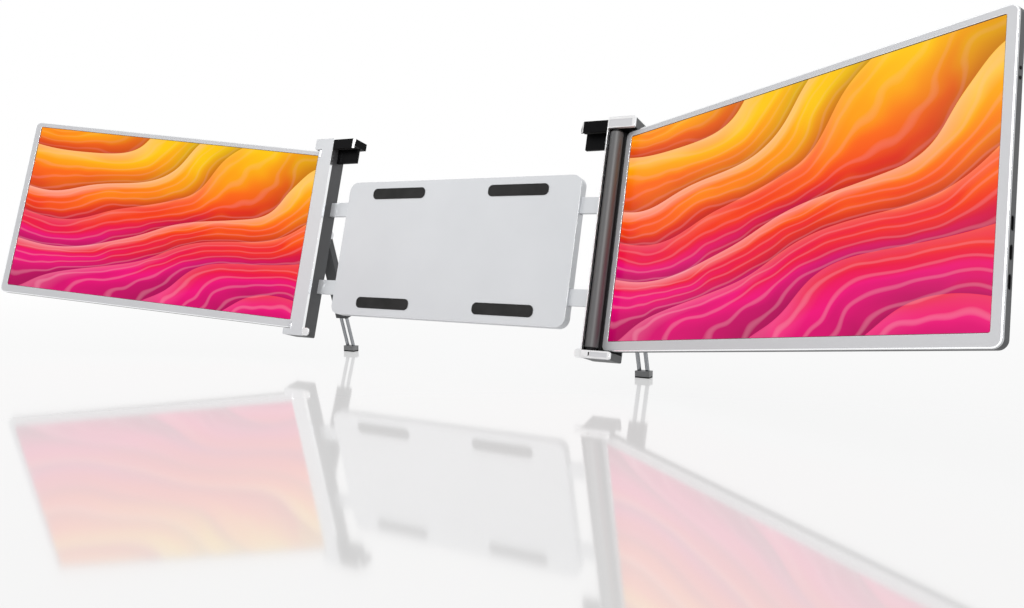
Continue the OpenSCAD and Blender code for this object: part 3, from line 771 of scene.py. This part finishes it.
def bracket_front(side):
    """The silver front with painted highlights on its broken edges and side faces; the right one has sunk panels
    with pale painted-highlight rims, and a groove painted dark as painted shade.
    """
    node = side + "_front_frame"
    piece = copy_of(node, side + "_bracket_front")
    low, high = span(node, LID[side])
    corner = low + Vector((GROOVE_X, -GROOVE_DEPTH, GROOVE_Z))
    groove_size = Vector((GROOVE_W, 2 * GROOVE_DEPTH, GROOVE_H))
    if side == "right":
        cut_with(piece, [lid_box(side, corner, corner + groove_size)])
    finishes = (SILVER, PAINTED_HIGHLIGHT_EDGE, SHELL, PALE_HIGHLIGHT, PAINT)
    paint(piece, *finishes)
    bevel_all(piece, FRONT_EDGE, 2, edge_finish=finishes.index(PAINTED_HIGHLIGHT_EDGE))
    # The side faces are painted near-white as a painted highlight
    refinish(piece, side, lambda centre, normal: abs(normal.x) > ALONG, finishes.index(PAINTED_HIGHLIGHT_EDGE))
    if side == "right":
        # The front faces are painted pale as a painted highlight round the sunk panels, whose floors take the
        # silver lacquer
        refinish(piece, side, lambda centre, normal: normal.y < -SQUARE, finishes.index(PALE_HIGHLIGHT))
        sunk = low.y + PANEL_DEPTH
        block_panel = (BLOCK_RIM_SIDE, BLOCK_W - BLOCK_RIM_WIDE,
                       high.z - BLOCK_H + BLOCK_RIM_BELOW, high.z - BLOCK_RIM_WIDE)
        bar_panel = (BAR_PANEL_X, BAR_W - BAR_RIM_END, low.z + BAR_RIM, low.z + BAR_H - BAR_RIM)
        proud = low.y - PANEL_DEPTH
        cut_with(piece, [
            lid_box(side, Vector((low.x + x0, proud, z0)), Vector((low.x + x1, sunk, z1)))
            for x0, x1, z0, z1 in (block_panel, bar_panel)])
        refinish(piece, side, lambda centre, normal: (
            normal.y < -SQUARE and abs(centre.y - sunk) < NEAR), finishes.index(PAINT))
        # The groove's walls and floor are painted dark grey as painted shade
        refinish(piece, side, lambda centre, normal: in_groove(centre - corner),
                 finishes.index(SHELL))
    stands_for(piece, node)


def in_groove(spot):
    """Whether a spot, from the groove cutter's corner, is on the groove's walls or floor."""
    play = 0.1 * MM
    return (-play < spot.x < GROOVE_W + play and -play < spot.z < GROOVE_H + play
            and GROOVE_DEPTH + play < spot.y < 2 * GROOVE_DEPTH + play)


def lid_hook(side):
    """The black hook, with a chamfer down the front of its inner end painted pale as a painted highlight."""
    node = side + "_top_hook"
    piece = copy_of(node, side + "_lid_hook")
    paint(piece, PLASTIC, PALE_HIGHLIGHT)
    low, _ = span(node, LID[side])
    back = LID[side].inverted()

    def at_front_end(point):
        spot = back @ point
        return abs(spot.x - low.x) < NEAR and abs(spot.y - low.y) < NEAR

    choose_edges(piece, lambda a, b: at_front_end(a) and at_front_end(b))
    bpy.ops.mesh.bevel(offset=HOOK_CHAMFER, segments=1, affect="EDGES")
    pick(piece)
    # The chamfer faces are painted pale as a painted highlight
    refinish(piece, side, lambda centre, normal: max(normal.x, normal.y) < -SLANTED, 1)
    bevel_all(piece, HOOK_EDGE, 2)
    stands_for(piece, node)


def bracket_housing(side):
    """The dark housing; the right one's recess is painted black as painted shade, with a silver rim along its
    inner side.
    """
    node = side + "_side_housing"
    piece = rounded(node, side + "_bracket_housing", HOUSING_EDGE, 2, SHELL)
    if side == "right":
        low, high = span(node, LID[side])
        play = 0.5 * MM
        floor_z = low.z + BAR_H - play
        roof_z = high.z - BLOCK_H + play
        finishes = (SHELL, PLASTIC, SILVER)
        paint(piece, *finishes)
        # Faces inside the recess are painted black as painted shade
        refinish(piece, side, lambda centre, normal: (
            floor_z < centre.z < roof_z and centre.x > low.x + play and normal.y < REARWARD),
            finishes.index(PLASTIC))
        refinish(piece, side, lambda centre, normal: (
            floor_z < centre.z < roof_z and centre.y < low.y + RIM_DEPTH), finishes.index(SILVER))


def build_bracket(side):
    bracket_front(side)
    bracket_housing(side)
    rounded(side + "_rear_cover", side + "_bracket_rear_cover", COVER_EDGE, 2, SHELL)
    lid_hook(side)
    round_rows(BRACKET_ROWS, side + "_")


# ---- Legs and centre body ----

LEG_ROWS = (
    ("leg_housing", "leg_barrel", 1.2, 3, SHELL),
    ("leg_foot", "leg_shoe", 0.8, 3, SHOE),
    ("foot_pad", "leg_sole", 0.25, 2, RUBBER),
)
CENTRE_ROWS = (
    # The centre face's broken edges take the painted highlight finish
    ("centre_front_panel", "centre_face", 0.4, 2, SILVER, PAINTED_HIGHLIGHT_EDGE),
    ("centre_rear_cover", "centre_back", 0.8, 2, SILVER),
    ("lid_pads", "lid_rest_pads", 0.25, 2, RUBBER),
    ("rail_guides", "rail_guide_blocks", 0.3, 2, PLASTIC),
)
TUBE_ROW = ("right_hinge_tube", "right_hinge_barrel", 0.6, 3, TUBE)

round_rows(CENTRE_ROWS)
for side in SIDES:
    build_screen(side)
    build_bracket(side)
    round_rows(LEG_ROWS, side + "_")
round_rows([TUBE_ROW])

# The CAD nodes that stay take their slot's finish, but for the rods and the right hinge's steel
for node, piece in frame["nodes"].items():
    if not piece.hide_render:
        finish = FINISH[SLOT_OF[node]]
        if node.endswith("_leg_rods"):
            finish = CHROME
        if node.startswith("right_hinge"):
            finish = BLACK_STEEL
        paint(piece, finish)

# ---- Floor, light and camera ----

FLOOR_GAP = 0.05 * MM               # between the soles and the floor
FLOOR_Z = min(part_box(side + "_foot_pad")[0].z for side in SIDES) - FLOOR_GAP
FLOOR_SIZE = 12
WHITE_NEAR = 0.55                   # share of plain white in the floor under the object
WHITE_FROM = 0.6                    # distance from the middle where that share starts to rise
WHITE_AT = 1.9
WORLD_LIGHT = 0.52                  # the white world's strength where it lights the object
WORLD_SEEN = 1.0                    # and where it is seen, straight or in a reflection


def show_rays(nodes, links):
    """1 for camera, glossy and transmission rays, and 0 for the rays that light the object."""
    path = nodes.new("ShaderNodeLightPath")
    seen = path.outputs["Is Camera Ray"]
    for name in ("Is Glossy Ray", "Is Transmission Ray"):
        either = nodes.new("ShaderNodeMath")
        either.operation = "MAXIMUM"
        links.new(seen, either.inputs[0])
        links.new(path.outputs[name], either.inputs[1])
        seen = either.outputs["Value"]
    return seen


def floor_material():
    """Pale glossy floor that fades to plain white away from the object."""
    material = new_material(
        "pale_floor", (0.98, 0.98, 0.98), metallic=0.6, roughness=0.07, Specular_IOR_Level=0.5)
    nodes = material.node_tree.nodes
    links = material.node_tree.links
    coordinates = add_node(material, "ShaderNodeTexCoord")
    distance = add_node(material, "ShaderNodeVectorMath", operation="LENGTH")
    link(material, coordinates.outputs["Object"], distance.inputs[0])
    fade = add_node(material, "ShaderNodeMapRange", interpolation_type="SMOOTHSTEP")
    fade.inputs["From Min"].default_value = WHITE_FROM
    fade.inputs["From Max"].default_value = WHITE_AT
    fade.inputs["To Min"].default_value = WHITE_NEAR
    link(material, distance.outputs["Value"], fade.inputs["Value"])
    white = add_node(material, "ShaderNodeEmission")
    blend = add_node(material, "ShaderNodeMixShader")
    shown = number(material, "MULTIPLY", fade.outputs["Result"], show_rays(nodes, links))
    link(material, shown, blend.inputs["Fac"])
    link(material, nodes["Principled BSDF"].outputs["BSDF"], blend.inputs[1])
    link(material, white.outputs["Emission"], blend.inputs[2])
    link(material, blend.outputs["Shader"], nodes["Material Output"].inputs["Surface"])
    return material


def build_floor():
    pick_none()
    bpy.ops.mesh.primitive_plane_add(size=FLOOR_SIZE, location=(0, 0, FLOOR_Z))
    floor = bpy.context.object
    floor.name = "floor"
    paint(floor, floor_material())
    return floor


def build_world():
    """White all round; softer where it lights the object."""
    world = bpy.data.worlds.new("studio")
    bpy.context.scene.world = world
    world.use_nodes = True
    nodes = world.node_tree.nodes
    links = world.node_tree.links
    strength = nodes.new("ShaderNodeMapRange")
    strength.inputs["To Min"].default_value = WORLD_LIGHT
    strength.inputs["To Max"].default_value = WORLD_SEEN
    links.new(show_rays(nodes, links), strength.inputs["Value"])
    background = nodes["Background"]
    background.inputs["Color"].default_value = (1, 1, 1, 1)
    links.new(strength.outputs["Result"], background.inputs["Strength"])


LAMPS = (
    # name, location, target, width and height in metres, and watts
    ("key_light", (-1.6, -1.55, 1.1), (-0.1, 0, -0.1), (1.1, 1.1), 4),
    ("front_light", (0.85, -1.45, 0.85), (0.18, 0, -0.1), (0.5, 0.8), 14),
    ("rear_light", (0.2, 1.9, 1.2), (0, 0, -0.1), (2.2, 1.0), 7),
)


def soft_light(name, location, target, size, power, spared):
    bpy.ops.object.light_add(type="AREA", location=location)
    lamp = bpy.context.object
    lamp.name = name
    lamp.rotation_euler = (Vector(target) - Vector(location)).to_track_quat("-Z", "Y").to_euler()
    lamp.data.shape = "RECTANGLE"
    lamp.data.size = size[0]
    lamp.data.size_y = size[1]
    lamp.data.energy = power
    lamp.light_linking.receiver_collection = spared


# The camera of the photograph, fitted to the screens and the brackets
CAMERA_AT = Vector((515.70, -767.55, -95.18)) * MM
CAMERA_AZIMUTH = math.radians(30.688)
CAMERA_ELEVATION = math.radians(4.683)
FOCAL_PIXELS = 867.75
IMAGE_W = 1024
SENSOR_W = 36


def build_camera():
    bpy.ops.object.camera_add(location=CAMERA_AT)
    camera = bpy.context.object
    camera.name = "photo_camera"
    camera.rotation_euler = (math.pi / 2 - CAMERA_ELEVATION, 0, CAMERA_AZIMUTH)
    camera.data.sensor_width = SENSOR_W
    camera.data.lens = FOCAL_PIXELS / IMAGE_W * SENSOR_W
    camera.data.clip_start = 0.01
    bpy.context.scene.camera = camera


def without(floor):
    """A light linking collection that spares the floor, so that no lamp shows in its gloss."""
    spared = bpy.data.collections.new("floor_spared_by_lamps")
    spared.objects.link(floor)
    spared.collection_objects[0].light_linking.link_state = "EXCLUDE"
    return spared


spared = without(build_floor())
build_world()
pick_none()
for name, location, target, size, power in LAMPS:
    soft_light(name, location, target, size, power, spared)
build_camera()
bpy.context.scene.view_settings.view_transform = "Standard"
